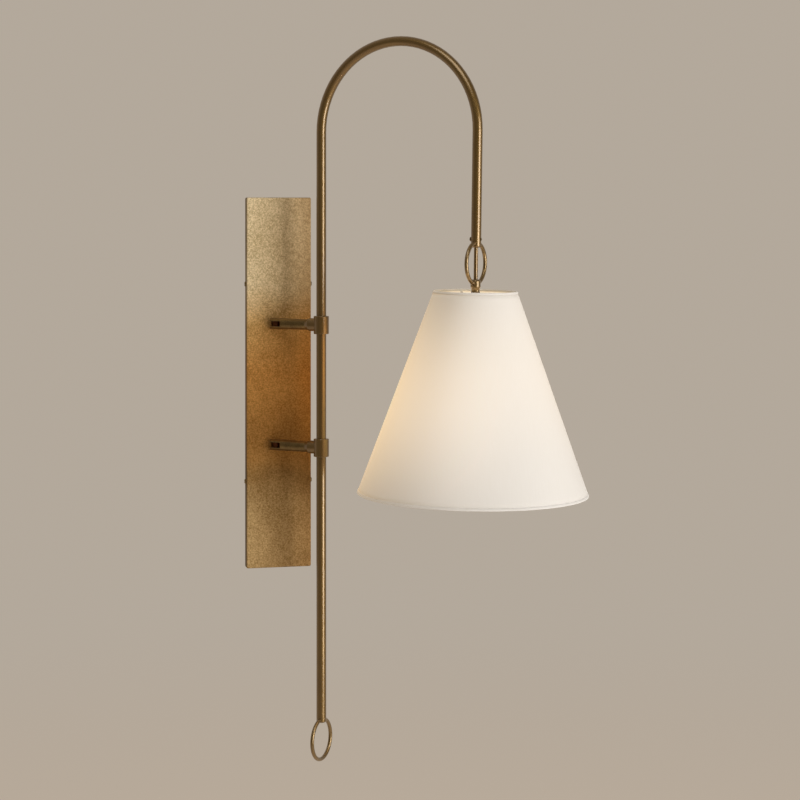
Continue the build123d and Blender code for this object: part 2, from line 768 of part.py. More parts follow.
# Bulb: screw cap with rounded threads and a contact, and a blown envelope
bulb_seat = shell_bottom
contact_top = bulb_seat - bulb_cap_length - bulb_contact_height
thread_turns = int((bulb_cap_length - bulb_thread_pitch) / bulb_thread_pitch)
with BuildPart() as bulb_cap:
    with BuildSketch(leg_plane):
        with BuildLine():
            core_radius = bulb_cap_radius - bulb_thread_depth
            thread_top = bulb_seat - bulb_thread_pitch / 2 - thread_turns * bulb_thread_pitch
            Polyline(
                (core_radius, -thread_top),
                (bulb_contact_radius, -thread_top + bulb_contact_height),
                (bulb_contact_radius, -contact_top),
                (0, -contact_top),
                (0, -bulb_seat),
                (core_radius, -bulb_seat),
                (core_radius, -bulb_seat + bulb_thread_pitch / 2),
            )
            for turn in range(thread_turns):
                foot = bulb_seat - bulb_thread_pitch / 2 - turn * bulb_thread_pitch
                ThreePointArc(
                    (core_radius, -foot),
                    (bulb_cap_radius, -foot + bulb_thread_pitch / 2),
                    (core_radius, -foot + bulb_thread_pitch),
                )
        make_face()
    revolve(axis=leg_axis)
bulb_cap.part.label = "bulb_cap"
export_step(bulb_cap.part, "parts/bulb_cap.step")

bulb_centre = bulb_seat + bulb_length - bulb_radius
with BuildPart() as bulb_glass:
    for wall, mode in ((0, Mode.ADD), (bulb_wall, Mode.SUBTRACT)):
        ball_radius = bulb_radius - wall
        neck_radius = bulb_neck_radius - wall
        neck_top = bulb_seat + wall
        with BuildSketch(leg_plane):
            with BuildLine():
                side = (ball_radius, -bulb_centre)
                CenterArc((0, -bulb_centre), ball_radius, 270, 90)
                neck = (neck_radius, -bulb_seat - bulb_neck_length)
                Spline(side, neck, tangents=((0, 1), (0, 1)))
                Polyline(neck, (neck_radius, -neck_top), (0, -neck_top), (0, -bulb_centre - ball_radius))
            make_face()
        revolve(axis=leg_axis, mode=mode)
bulb_glass.part.label = "bulb_glass"
export_step(bulb_glass.part, "parts/bulb_glass.step")
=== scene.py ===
import bpy
import bmesh
import json
import math
from mathutils import Matrix, Vector

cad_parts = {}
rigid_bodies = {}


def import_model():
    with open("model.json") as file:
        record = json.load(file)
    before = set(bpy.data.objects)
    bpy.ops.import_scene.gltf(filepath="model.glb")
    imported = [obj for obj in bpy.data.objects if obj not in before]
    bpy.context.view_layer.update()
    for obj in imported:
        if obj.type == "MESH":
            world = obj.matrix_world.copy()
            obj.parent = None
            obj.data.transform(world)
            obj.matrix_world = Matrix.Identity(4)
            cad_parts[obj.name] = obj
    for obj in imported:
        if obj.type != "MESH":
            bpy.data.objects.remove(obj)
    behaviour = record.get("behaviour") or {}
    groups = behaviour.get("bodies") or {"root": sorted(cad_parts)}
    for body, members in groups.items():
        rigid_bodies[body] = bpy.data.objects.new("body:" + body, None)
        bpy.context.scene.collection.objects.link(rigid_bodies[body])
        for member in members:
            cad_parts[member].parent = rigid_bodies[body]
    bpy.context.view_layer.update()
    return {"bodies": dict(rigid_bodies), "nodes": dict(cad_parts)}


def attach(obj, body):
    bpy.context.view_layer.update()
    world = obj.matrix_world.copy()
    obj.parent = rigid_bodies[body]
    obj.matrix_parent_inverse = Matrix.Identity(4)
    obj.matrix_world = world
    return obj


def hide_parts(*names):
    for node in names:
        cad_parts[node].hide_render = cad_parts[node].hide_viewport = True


# Swing arm wall lamp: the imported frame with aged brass, a woven cone shade and a lit bulb.
# Sizes are metres. The lamp hangs on a wall at y = 0 and comes out towards -Y.
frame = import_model()
nodes = frame["nodes"]
print("stage 1: frame loaded,", len(nodes), "nodes")

# The camera looks level at the wall, so upright edges stay upright, and its shift frames the lamp.
cameraLook = {
    "place": (-0.4159, -2.4750, 0.2091),
    "turn": 0.2276,         # radians to the right of straight at the wall
    "lens": 90.2,           # millimetres, as the sensor
    "sensor": 36.0,
    "shiftDown": 0.2321,
}
cameraData = bpy.data.cameras.new("studioCamera")
cameraData.sensor_width = cameraLook["sensor"]
cameraData.lens = cameraLook["lens"]
cameraData.shift_y = -cameraLook["shiftDown"]
camera = bpy.data.objects.new("studioCamera", cameraData)
camera.location = cameraLook["place"]
camera.rotation_euler = (math.pi / 2, 0, -cameraLook["turn"])
bpy.context.scene.collection.objects.link(camera)
bpy.context.scene.camera = camera
bpy.context.scene.view_settings.view_transform = "Standard"


def setInputs(node, values):
    for socket, value in values.items():
        node.inputs[socket].default_value = value


def addNode(tree, kind, place, inputs=None, **settings):
    # the settings come first, because a Mix node's sockets depend on its data type
    node = tree.nodes.new("ShaderNode" + kind)
    node.location = place
    for name, value in settings.items():
        setattr(node, name, value)
    setInputs(node, inputs or {})
    return node


def twoTone(tree, place, dark, light, ends=(0.0, 1.0)):
    # a colour ramp from dark to light between two levels
    ramp = addNode(tree, "ValToRGB", place)
    for stop, colour, level in zip(ramp.color_ramp.elements, (dark, light), ends):
        stop.position = level
        stop.color = (*colour, 1)
    return ramp


# The room that the metal mirrors: pale behind the lamp, darker on the camera's side.
roomLook = {
    "behind": (0.452, 0.395, 0.330),
    "front": (0.180, 0.156, 0.114),
    "changeFrom": 0.55,     # the y of a direction where the colour starts to change
    "changeTo": -0.45,
    "strength": 1.0,
}


def roomColour(tree, way, place):
    split = addNode(tree, "SeparateXYZ", (-600, place))
    towardsFront = addNode(tree, "MapRange", (-400, place), {
        "From Min": roomLook["changeFrom"], "From Max": roomLook["changeTo"]},
        interpolation_type="SMOOTHSTEP")
    roomMix = addNode(tree, "Mix", (-200, place), {
        "A": (*roomLook["behind"], 1), "B": (*roomLook["front"], 1)}, data_type="RGBA")
    tree.links.new(way, split.inputs["Vector"])
    tree.links.new(split.outputs["Y"], towardsFront.inputs["Value"])
    tree.links.new(towardsFront.outputs["Result"], roomMix.inputs["Factor"])
    return roomMix.outputs["Result"]


world = bpy.data.worlds.new("studioWorld")
world.use_nodes = True
worldTree = world.node_tree
background = worldTree.nodes["Background"]
background.inputs["Strength"].default_value = roomLook["strength"]
direction = addNode(worldTree, "TexCoord", (-800, 300))
worldTree.links.new(roomColour(worldTree, direction.outputs["Generated"], 300),
                    background.inputs["Color"])
bpy.context.scene.world = world

# Soft boxes: a tall one on the right draws the bright line down the tubes, and one hangs above
# the camera.
softBoxes = {
    "tallSoftBox": {"place": (1.40, -1.67, -0.08), "aim": (0.05, -0.08, -0.02),
                    "size": (0.90, 1.4), "power": 27.0, "colour": (1.0, 0.975, 0.935)},
    "frontSoftBox": {"place": (-0.20, -1.25, 1.55), "aim": (0.12, -0.12, 0.0),
                     "size": (1.3, 0.9), "power": 8.0, "colour": (1.0, 0.985, 0.96)},
}


def addAreaLight(name, look, place, towards):
    data = bpy.data.lights.new(name, "AREA")
    data.shape = "RECTANGLE"
    data.size, data.size_y = look["size"]
    data.energy = look["power"]
    data.color = look["colour"]
    light = bpy.data.objects.new(name, data)
    light.location = place
    light.rotation_euler = towards.to_track_quat("-Z", "Y").to_euler()
    light.visible_camera = False
    bpy.context.scene.collection.objects.link(light)
    return light


for boxName, boxLook in softBoxes.items():
    addAreaLight(boxName, boxLook, boxLook["place"],
                 Vector(boxLook["aim"]) - Vector(boxLook["place"]))

floorLook = {
    "height": -1.25,
    "reach": 40.0,
    "corners": 96,
    "colour": (0.93, 0.84, 0.745),
    "glow": (0.62, 0.53, 0.44),     # mixed in, so the floor stays pale where little light falls
    "glowShare": 0.5,
    "fadeFrom": 1.6,                # from here out it fades into the room, so no horizon shows
    "fadeTo": 5.0,
}


def floorMaterial(look):
    material = bpy.data.materials.new("studioFloor")
    material.use_nodes = True
    tree = material.node_tree
    tree.nodes.clear()
    output = addNode(tree, "OutputMaterial", (600, 0))
    lit = addNode(tree, "BsdfDiffuse", (-100, 200), {"Color": (*look["colour"], 1)})
    glow = addNode(tree, "Emission", (-100, 60), {"Color": (*look["glow"], 1), "Strength": 1.0})
    near = addNode(tree, "MixShader", (100, 140), {"Fac": look["glowShare"]})
    far = addNode(tree, "Emission", (0, -100), {"Strength": 1.0})
    coords = addNode(tree, "TexCoord", (-800, 0))
    outward = addNode(tree, "VectorMath", (-700, -300), operation="NORMALIZE")
    length = addNode(tree, "VectorMath", (-600, 0), operation="LENGTH")
    fade = addNode(tree, "MapRange", (-400, 0), {
        "From Min": look["fadeFrom"], "From Max": look["fadeTo"]}, interpolation_type="SMOOTHSTEP")
    mix = addNode(tree, "MixShader", (300, 0))
    tree.links.new(coords.outputs["Object"], outward.inputs[0])
    tree.links.new(roomColour(tree, outward.outputs["Vector"], -300), far.inputs["Color"])
    tree.links.new(coords.outputs["Object"], length.inputs[0])
    tree.links.new(length.outputs["Value"], fade.inputs["Value"])
    tree.links.new(fade.outputs["Result"], mix.inputs["Fac"])
    tree.links.new(lit.outputs["BSDF"], near.inputs[1])
    tree.links.new(glow.outputs["Emission"], near.inputs[2])
    tree.links.new(near.outputs["Shader"], mix.inputs[1])
    tree.links.new(far.outputs["Emission"], mix.inputs[2])
    tree.links.new(mix.outputs["Shader"], output.inputs["Surface"])
    return material


floorMesh = bpy.data.meshes.new("studioFloor")
floorBm = bmesh.new()
bmesh.ops.create_circle(floorBm, cap_ends=True, segments=floorLook["corners"],
                        radius=floorLook["reach"])
floorBm.to_mesh(floorMesh)
floorBm.free()
floor = bpy.data.objects.new("studioFloor", floorMesh)
floor.location = (0, 0, floorLook["height"])
bpy.context.scene.collection.objects.link(floor)
floor.data.materials.append(floorMaterial(floorLook))
print("stage 2: camera, floor and soft boxes")

# Brass by where it is used: colours of the rubbed metal and of the dark patina, the scales of
# the fine grain and the slow clouds, and how much of a lacquer's shine lies over it.
brassLook = {
    "plate": {"rubbed": (0.78, 0.59, 0.345), "patina": (0.42, 0.285, 0.13), "grain": 620.0,
              "cloud": 16.0, "grainShare": 0.66, "rough": 0.60, "bump": 0.06, "lacquer": 0.0},
    "tube": {"rubbed": (0.225, 0.126, 0.018), "patina": (0.185, 0.098, 0.012), "grain": 700.0,
             "cloud": 26.0, "grainShare": 0.25, "rough": 0.42, "bump": 0.001, "lacquer": 1.0},
    "arm": {"rubbed": (0.29, 0.195, 0.075), "patina": (0.14, 0.09, 0.032), "grain": 700.0,
            "cloud": 40.0, "grainShare": 0.4, "rough": 0.36, "bump": 0.012, "lacquer": 0.2},
    # the lug is painted near-black red brown: painted shade in the fork's slot, with a painted
    # reddish reflection of the plate on the tongue
    "lug": {"rubbed": (0.20, 0.065, 0.030), "patina": (0.055, 0.022, 0.011), "grain": 700.0,
            "cloud": 60.0, "grainShare": 0.4, "rough": 0.45, "bump": 0.012, "lacquer": 0.0},
    "pin": {"rubbed": (0.42, 0.13, 0.055), "patina": (0.20, 0.055, 0.025), "grain": 700.0,
            "cloud": 80.0, "grainShare": 0.3, "rough": 0.33, "bump": 0.0, "lacquer": 0.0},
    "ring": {"rubbed": (0.27, 0.160, 0.036), "patina": (0.18, 0.105, 0.021), "grain": 700.0,
             "cloud": 70.0, "grainShare": 0.2, "rough": 0.37, "bump": 0.001, "lacquer": 1.0},
}
# what all the brass shares
patinaLook = {
    "grain": {"Detail": 2.0, "Roughness": 0.55},
    "cloud": {"Detail": 5.0, "Roughness": 0.6, "Distortion": 0.3},
    "levels": (0.36, 0.64),         # all patina below the first, all rubbed above the second
    "cloudLevels": (0.3, 0.7),
    "duller": 0.06,                 # added to the roughness in the dark clouds
    "smoother": 0.05,               # taken off it in the bright ones
    "bumpDepth": 0.0003,
    "lacquerRough": 0.26,
    "lacquerIor": 1.75,
}
# Painted light and shade over the plate's patina, up its height: orange brown between the arms,
# where a painted shadow of the shade and its painted warm glow lie, and khaki at the ends, painted
# lighter where the soft boxes fall. It is painted lighter on the left and darker, browner on the
# right.
plateLightTones = {
    "heights": (-0.150, -0.116, -0.094, 0.010, 0.075, 0.120),
    "colours": ((0.77, 0.74, 0.64), (0.53, 0.44, 0.30), (0.71, 0.54, 0.315),
                (1.00, 0.77, 0.455), (1.01, 0.92, 0.70), (1.12, 1.28, 1.50)),
    "wander": 0.030,                # how far the tones drift up and down
    "drift": {"Scale": 22.0, "Detail": 4.0},
    # painted light on the left, painted shade on the right
    "left": (1.11, 1.10, 1.11),
    "right": (0.74, 0.62, 0.51),
    "halfWidth": 0.0405,
    # the rim's sides behind the front face get painted shade
    "frontFace": -0.0119,           # behind this the rim's sides are dark
    "sideBlend": 0.0012,
    "paintedSideShade": (0.30, 0.26, 0.20),
}


def principled(name):
    material = bpy.data.materials.new(name)
    material.use_nodes = True
    tree = material.node_tree
    shader = tree.nodes["Principled BSDF"]
    shader.location = (400, 0)
    return material, tree, shader


def agedBrass(name, look):
    # rubbed patina: fine grain over slow clouds, duller where it is darker
    material, tree, shader = principled(name)
    setInputs(shader, {"Metallic": 1.0, "Coat Weight": look["lacquer"],
                       "Coat Roughness": patinaLook["lacquerRough"],
                       "Coat IOR": patinaLook["lacquerIor"]})
    coords = addNode(tree, "TexCoord", (-1200, 0))
    grain = addNode(tree, "TexNoise", (-900, 250), {"Scale": look["grain"], **patinaLook["grain"]})
    cloud = addNode(tree, "TexNoise", (-900, -50), {"Scale": look["cloud"], **patinaLook["cloud"]})
    blend = addNode(tree, "Mix", (-650, 120), {"Factor": look["grainShare"]}, data_type="FLOAT")
    ramp = twoTone(tree, (-400, 150), look["patina"], look["rubbed"], patinaLook["levels"])
    lowCloud, highCloud = patinaLook["cloudLevels"]
    rough = addNode(tree, "MapRange", (-400, -150), {
        "From Min": lowCloud, "From Max": highCloud,
        "To Min": look["rough"] + patinaLook["duller"],
        "To Max": look["rough"] - patinaLook["smoother"]})
    bump = addNode(tree, "Bump", (100, -300), {
        "Strength": look["bump"], "Distance": patinaLook["bumpDepth"]})
    tree.links.new(coords.outputs["Object"], grain.inputs["Vector"])
    tree.links.new(coords.outputs["Object"], cloud.inputs["Vector"])
    tree.links.new(cloud.outputs["Fac"], blend.inputs["A"])
    tree.links.new(grain.outputs["Fac"], blend.inputs["B"])
    tree.links.new(blend.outputs["Result"], ramp.inputs["Fac"])
    tree.links.new(cloud.outputs["Fac"], rough.inputs["Value"])
    tree.links.new(grain.outputs["Fac"], bump.inputs["Height"])
    tree.links.new(ramp.outputs["Color"], shader.inputs["Base Color"])
    tree.links.new(rough.outputs["Result"], shader.inputs["Roughness"])
    tree.links.new(bump.outputs["Normal"], shader.inputs["Normal"])
    return material


def paintPlateLight(material, tones):
    # paints light and shade into the plate's brass: painted shadow and glow up its height, painted
    # light on the left and shade on the right, and painted shade on the rim's sides
    tree = material.node_tree
    shader = tree.nodes["Principled BSDF"]
    grained = shader.inputs["Base Color"].links[0].from_socket
    coords = addNode(tree, "TexCoord", (-1200, 700))
    split = addNode(tree, "SeparateXYZ", (-1000, 700))
    drift = addNode(tree, "TexNoise", (-1000, 500), tones["drift"])
    shift = addNode(tree, "Math", (-800, 500), {1: tones["wander"]}, operation="MULTIPLY_ADD")
    lowest, highest = tones["heights"][0], tones["heights"][-1]
    level = addNode(tree, "MapRange", (-600, 600), {
        "From Min": lowest + tones["wander"] / 2, "From Max": highest + tones["wander"] / 2})
    ramp = addNode(tree, "ValToRGB", (-400, 600))
    stops = ramp.color_ramp.elements
    while len(stops) < len(tones["heights"]):
        stops.new(0.5)
    for stop, height, colour in zip(stops, tones["heights"], tones["colours"]):
        stop.position = (height - lowest) / (highest - lowest)
        stop.color = (*colour, 1)
    heightPaintedLight = addNode(tree, "Mix", (-100, 500), {"Factor": 1.0},
                    data_type="RGBA", blend_type="MULTIPLY")
    across = addNode(tree, "MapRange", (-400, 1050), {
        "From Min": -tones["halfWidth"], "From Max": tones["halfWidth"]})
    acrossPaintedLight = addNode(tree, "Mix", (-200, 1050), {
        "A": (*tones["left"], 1), "B": (*tones["right"], 1)}, data_type="RGBA")
    acrossLitShaded = addNode(tree, "Mix", (0, 850), {"Factor": 1.0},
                    data_type="RGBA", blend_type="MULTIPLY")
    depth = addNode(tree, "MapRange", (-400, 850), {
        "From Min": tones["frontFace"], "From Max": tones["frontFace"] + tones["sideBlend"]})
    sidePaintedShade = addNode(tree, "Mix", (100, 600), {"B": (*tones["paintedSideShade"], 1)},
                    data_type="RGBA", blend_type="MULTIPLY")
    tree.links.new(coords.outputs["Object"], split.inputs["Vector"])
    tree.links.new(coords.outputs["Object"], drift.inputs["Vector"])
    tree.links.new(drift.outputs["Fac"], shift.inputs[0])
    tree.links.new(split.outputs["Z"], shift.inputs[2])
    tree.links.new(shift.outputs["Value"], level.inputs["Value"])
    tree.links.new(level.outputs["Result"], ramp.inputs["Fac"])
    tree.links.new(grained, heightPaintedLight.inputs["A"])
    tree.links.new(ramp.outputs["Color"], heightPaintedLight.inputs["B"])
    tree.links.new(split.outputs["X"], across.inputs["Value"])
    tree.links.new(across.outputs["Result"], acrossPaintedLight.inputs["Factor"])
    tree.links.new(heightPaintedLight.outputs["Result"], acrossLitShaded.inputs["A"])
    tree.links.new(acrossPaintedLight.outputs["Result"], acrossLitShaded.inputs["B"])
    tree.links.new(split.outputs["Y"], depth.inputs["Value"])
    tree.links.new(depth.outputs["Result"], sidePaintedShade.inputs["Factor"])
    tree.links.new(acrossLitShaded.outputs["Result"], sidePaintedShade.inputs["A"])
    tree.links.new(sidePaintedShade.outputs["Result"], shader.inputs["Base Color"])


brass = {key: agedBrass(key + "Brass", look) for key, look in brassLook.items()}
paintPlateLight(brass["plate"], plateLightTones)

# plated, blackened and coloured steel, with slight spots
steelLook = {
    "zincSteel": {"light": (0.64, 0.63, 0.60), "dark": (0.46, 0.45, 0.43),
                  "rough": 0.36, "spots": 160.0},
    "nickelCap": {"light": (0.72, 0.70, 0.66), "dark": (0.56, 0.54, 0.50),
                  "rough": 0.27, "spots": 220.0},
    "darkSteel": {"light": (0.10, 0.09, 0.08), "dark": (0.05, 0.045, 0.04),
                  "rough": 0.42, "spots": 400.0},
    "earthGreen": {"light": (0.05, 0.30, 0.11), "dark": (0.03, 0.20, 0.07),
                   "rough": 0.38, "spots": 300.0},
}
# what all the steel shares
spotLook = {"detail": 4.0, "levels": (0.35, 0.65), "duller": 0.08, "smoother": 0.06}


def spottedSteel(name, look):
    material, tree, shader = principled(name)
    shader.inputs["Metallic"].default_value = 1.0
    coords = addNode(tree, "TexCoord", (-900, 0))
    spots = addNode(tree, "TexNoise", (-650, 0), {
        "Scale": look["spots"], "Detail": spotLook["detail"]})
    ramp = twoTone(tree, (-400, 100), look["dark"], look["light"], spotLook["levels"])
    rough = addNode(tree, "MapRange", (-400, -150), {
        "To Min": look["rough"] + spotLook["duller"],
        "To Max": look["rough"] - spotLook["smoother"]})
    tree.links.new(coords.outputs["Object"], spots.inputs["Vector"])
    tree.links.new(spots.outputs["Fac"], ramp.inputs["Fac"])
    tree.links.new(spots.outputs["Fac"], rough.inputs["Value"])
    tree.links.new(ramp.outputs["Color"], shader.inputs["Base Color"])
    tree.links.new(rough.outputs["Result"], shader.inputs["Roughness"])
    return material


steel = {name: spottedSteel(name, look) for name, look in steelLook.items()}

linerLook = {"dark": (0.05, 0.045, 0.04), "light": (0.13, 0.115, 0.10), "rough": 0.75,
             "specks": 900.0, "detail": 3.0}
enamelLook = {"dark": (0.76, 0.69, 0.57), "light": (0.83, 0.77, 0.66), "rough": 0.45,
              "specks": 240.0, "detail": 3.0}


def speckled(name, look):
    # card, enamel or lining: one colour with slight specks
    material, tree, shader = principled(name)
    shader.inputs["Roughness"].default_value = look["rough"]
    coords = addNode(tree, "TexCoord", (-900, 0))
    specks = addNode(tree, "TexNoise", (-650, 0), {
        "Scale": look["specks"], "Detail": look["detail"]})
    ramp = twoTone(tree, (-400, 100), look["dark"], look["light"])
    tree.links.new(coords.outputs["Object"], specks.inputs["Vector"])
    tree.links.new(specks.outputs["Fac"], ramp.inputs["Fac"])
    tree.links.new(ramp.outputs["Color"], shader.inputs["Base Color"])
    return material


linerCard = speckled("linerCard", linerLook)
creamEnamel = speckled("creamEnamel", enamelLook)

bulbGlassLook = {
    "glass": (0.95, 0.91, 0.84),
    "rough": 0.28,
    "dimGlow": (1.0, 0.80, 0.55),
    "brightGlow": (1.0, 0.88, 0.68),
    "strength": 0.9,
    "frost": {"Scale": 70.0, "Detail": 2.0},
}


def litGlass(look):
    # frosted bulb, its light a little uneven
    material, tree, shader = principled("litBulbGlass")
    setInputs(shader, {"Base Color": (*look["glass"], 1), "Roughness": look["rough"],
                       "Emission Strength": look["strength"]})
    coords = addNode(tree, "TexCoord", (-900, 0))
    frost = addNode(tree, "TexNoise", (-650, 0), look["frost"])
    ramp = twoTone(tree, (-400, 0), look["dimGlow"], look["brightGlow"])
    tree.links.new(coords.outputs["Object"], frost.inputs["Vector"])
    tree.links.new(frost.outputs["Fac"], ramp.inputs["Fac"])
    tree.links.new(ramp.outputs["Color"], shader.inputs["Emission Color"])
    return material


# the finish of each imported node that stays
dressing = {
    "backplate": brass["plate"], "side_screws": brass["arm"],
    "hinge_lug_upper": brass["lug"], "hinge_lug_lower": brass["lug"],
    "arm_upper": brass["arm"], "arm_lower": brass["arm"],
    "hinge_pin_upper": brass["pin"], "hinge_pin_lower": brass["pin"],
    "barrel_upper": brass["tube"], "barrel_lower": brass["tube"],
    "grub_screw_upper": steel["darkSteel"], "grub_screw_lower": steel["darkSteel"],
    "cane": brass["tube"], "rod_tip": brass["tube"], "leg_tip": brass["tube"],
    "ring_screw": brass["arm"], "finger_ring": brass["ring"], "upper_ring": brass["ring"],
    "wire_tube": brass["tube"], "hub": brass["ring"], "shade_holder": creamEnamel,
    "holder_cap": brass["ring"], "holder_shell": brass["ring"],
    "wall_strap": steel["zincSteel"], "earth_screw": steel["earthGreen"],
    "lug_washer_upper": steel["zincSteel"], "lug_washer_lower": steel["zincSteel"],
    "lug_nut_upper": steel["zincSteel"], "lug_nut_lower": steel["zincSteel"],
    "nipple": steel["zincSteel"], "cap_nut": steel["zincSteel"], "bottom_ring": creamEnamel,
    "holder_liner": linerCard, "bulb_cap": steel["nickelCap"],
    "bulb_glass": litGlass(bulbGlassLook),
}
for nodeName, finish in dressing.items():
    nodeMesh = nodes[nodeName].data
    nodeMesh.materials.clear()
    nodeMesh.materials.append(finish)
print("stage 3: metal, enamel, glass and liner materials on", len(dressing), "nodes")

# The shade hangs on the leg's line, which starts at the arch's end and leans in a little.
legLine = {
    "armTurn": math.radians(42.0),
    "lean": math.radians(0.86),
    "archRadius": 0.10695,
    "archHeight": 0.3095,
    "rod": (0.0435813, -0.0647928),
}
reach = Vector((math.cos(legLine["armTurn"]), -math.sin(legLine["armTurn"]), 0))
legUp = reach * math.sin(legLine["lean"]) + Vector((0, 0, math.cos(legLine["lean"])))
legAcross = reach * math.cos(legLine["lean"]) - Vector((0, 0, math.sin(legLine["lean"])))
legSide = legUp.cross(legAcross)
legStart = Vector((*legLine["rod"], legLine["archHeight"]))
legStart += reach * legLine["archRadius"] * (1 + math.cos(legLine["lean"]))
legStart.z -= legLine["archRadius"] * math.sin(legLine["lean"])
# local x points away from the rod, local z up the leg, and local z = 0 is the arch's end
legTurned = Matrix((legAcross, legSide, legUp)).transposed().to_4x4()
legFrame = Matrix.Translation(legStart) @ legTurned

shadeSize = {
    "drop": 0.1886,                 # from the arch's end down to the top edge
    "height": 0.2378,
    "topRadius": 0.0495,
    "bottomRadius": 0.1361,
    "clothInset": 0.0005,           # the cloth lies this far inside the bindings
    "clothThickness": 0.0008,
    "columns": 192,
    "rows": 30,
    "seamTurn": math.radians(132.0),        # straight at the wall
}
shadeSlope = (shadeSize["bottomRadius"] - shadeSize["topRadius"]) / shadeSize["height"]
coneSine = math.sin(math.atan(shadeSlope))      # how a turn of the cone closes up when laid flat


def shadeRadius(down):
    return shadeSize["topRadius"] + shadeSlope * down


def turnOutwards(bm):
    # an open strip or cone can come out either way round: its faces turn away from the leg's line
    bmesh.ops.recalc_face_normals(bm, faces=bm.faces)
    face = bm.faces[:][0]
    middle = face.calc_center_median()
    if face.normal.x * middle.x + face.normal.y * middle.y < 0:
        bmesh.ops.reverse_faces(bm, faces=bm.faces)


def turnFrom(middleSide, point):
    # how far a point lies round the leg's line from the side that is the cut's middle
    return (math.atan2(point.y, point.x) - middleSide + math.pi) % (2 * math.pi) - math.pi


def paintCloth(bm, middleSide):
    # UVs in metres on the flat cut cloth, so the threads run straight through it
    layer = bm.loops.layers.uv.new("cut")
    for face in bm.faces:
        middleTurn = turnFrom(middleSide, face.calc_center_median())
        for loop in face.loops:
            point = loop.vert.co
            turn = turnFrom(middleSide, point)
            if turn - middleTurn > math.pi:
                turn -= 2 * math.pi
            if middleTurn - turn > math.pi:
                turn += 2 * math.pi
            far = math.hypot(point.x, point.y) / coneSine
            loop[layer].uv = (far * math.sin(turn * coneSine), -far * math.cos(turn * coneSine))


def finishPiece(name, bm, materials):
    # a new piece on the lamp body, put on the leg's line with its place in its mesh
    bm.transform(legFrame)
    mesh = bpy.data.meshes.new(name)
    for face in bm.faces:
        face.smooth = True
    bm.to_mesh(mesh)
    bm.free()
    piece = bpy.data.objects.new(name, mesh)
    bpy.context.scene.collection.objects.link(piece)
    for material in materials:
        mesh.materials.append(material)
    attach(piece, "lamp")
    return piece


clothLook = {
    "thread": (0.80, 0.795, 0.80),
    "gap": (0.715, 0.70, 0.68),
    "threadsPerMetre": 1050.0,
    "crossThreadsPerMetre": 850.0,
    "crossShare": 0.35,
    "weaveDepth": 0.6,              # how far the cloth thins out between its threads
    "slubs": {"Scale": 90.0, "Detail": 2.0},
    "slubStretch": (6.0, 0.5, 1.0),
    "slubLevels": (0.3, 0.7),
    "thinnest": 0.78,
    "wander": 0.0006,               # how far the slubs push the threads out of line
    "bump": {"Strength": 0.25, "Distance": 0.00015},
    "shine": {"Roughness": 0.9, "Specular IOR Level": 0.15, "Sheen Weight": 0.12,
              "Sheen Roughness": 0.6, "Emission Strength": 1.0},
    "gapLight": 1.08,               # more of the bulb's light comes through the gaps
    "threadLight": 0.97,
    "glowShare": 1.0,
    "brightestGlow": (0.61, 0.54, 0.44),
    "glowFields": (
        # painted glow: emission in place of the bulb's light through the cloth, in two fields off
        # the bulb's line, a soft one on the left and a warmer one on the side towards the rod and
        # the plate; "tall" says how fast each fades up and down beside how fast it fades sideways
        {"colour": (1.0, 0.88, 0.76), "place": (0.016, -0.182, -0.277), "start": 0.007,
         "reach": 0.177, "tall": 0.71, "low": 0.026, "high": 0.385},
        {"colour": (1.0, 0.67, 0.31), "place": (-0.106, 0.046, -0.331), "start": 0.0,
         "reach": 0.276, "tall": 1.08, "low": 0.040, "high": 0.85},
    ),
}
# the bindings are the same cloth folded double, so less light comes through
bindingLook = {**clothLook, "weaveDepth": 0.5, "glowShare": 0.75}
liningLook = {
    "dark": (0.80, 0.76, 0.69),
    "light": (0.90, 0.87, 0.80),
    "rough": 0.55,
    "specks": 500.0,
    "detail": 3.0,
    # painted light: the bulb's warm light on the inside, as emission
    "glow": (0.36, 0.31, 0.24),
}


def lightThrough(tree, look, thickness):
    # painted light through the cloth: emission in fields round two places, not light from the
    # bulb, held below a brightest colour, and dimmer behind the threads
    coords = addNode(tree, "TexCoord", (-1600, -500))
    allGlow = addNode(tree, "VectorMath", (-600, -600), operation="ADD")
    brightest = addNode(tree, "VectorMath", (-400, -600), {1: look["brightestGlow"]},
                        operation="MINIMUM")
    threadDim = addNode(tree, "MapRange", (-600, -350), {
        "To Min": look["gapLight"], "To Max": look["threadLight"]})
    through = addNode(tree, "VectorMath", (-200, -500), operation="SCALE")
    for number, field in enumerate(look["glowFields"]):
        row = -500 - 300 * number
        middle = legFrame @ Vector(field["place"])
        centre = addNode(tree, "Mapping", (-1400, row), {
            "Scale": (1, 1, field["tall"]),
            "Location": (-middle.x, -middle.y, -middle.z * field["tall"])})
        away = addNode(tree, "VectorMath", (-1200, row), operation="LENGTH")
        falloff = addNode(tree, "MapRange", (-1000, row), {
            "From Min": field["start"], "From Max": field["start"] + field["reach"],
            "To Min": field["high"] * look["glowShare"],
            "To Max": field["low"] * look["glowShare"]}, interpolation_type="SMOOTHERSTEP")
        tint = addNode(tree, "VectorMath", (-800, row), {0: field["colour"]}, operation="SCALE")
        tree.links.new(coords.outputs["Object"], centre.inputs["Vector"])
        tree.links.new(centre.outputs["Vector"], away.inputs[0])
        tree.links.new(away.outputs["Value"], falloff.inputs["Value"])
        tree.links.new(falloff.outputs["Result"], tint.inputs["Scale"])
        tree.links.new(tint.outputs["Vector"], allGlow.inputs[number])
    tree.links.new(allGlow.outputs["Vector"], brightest.inputs[0])
    tree.links.new(thickness, threadDim.inputs["Value"])
    tree.links.new(brightest.outputs["Vector"], through.inputs[0])
    tree.links.new(threadDim.outputs["Result"], through.inputs["Scale"])
    return through.outputs["Vector"]


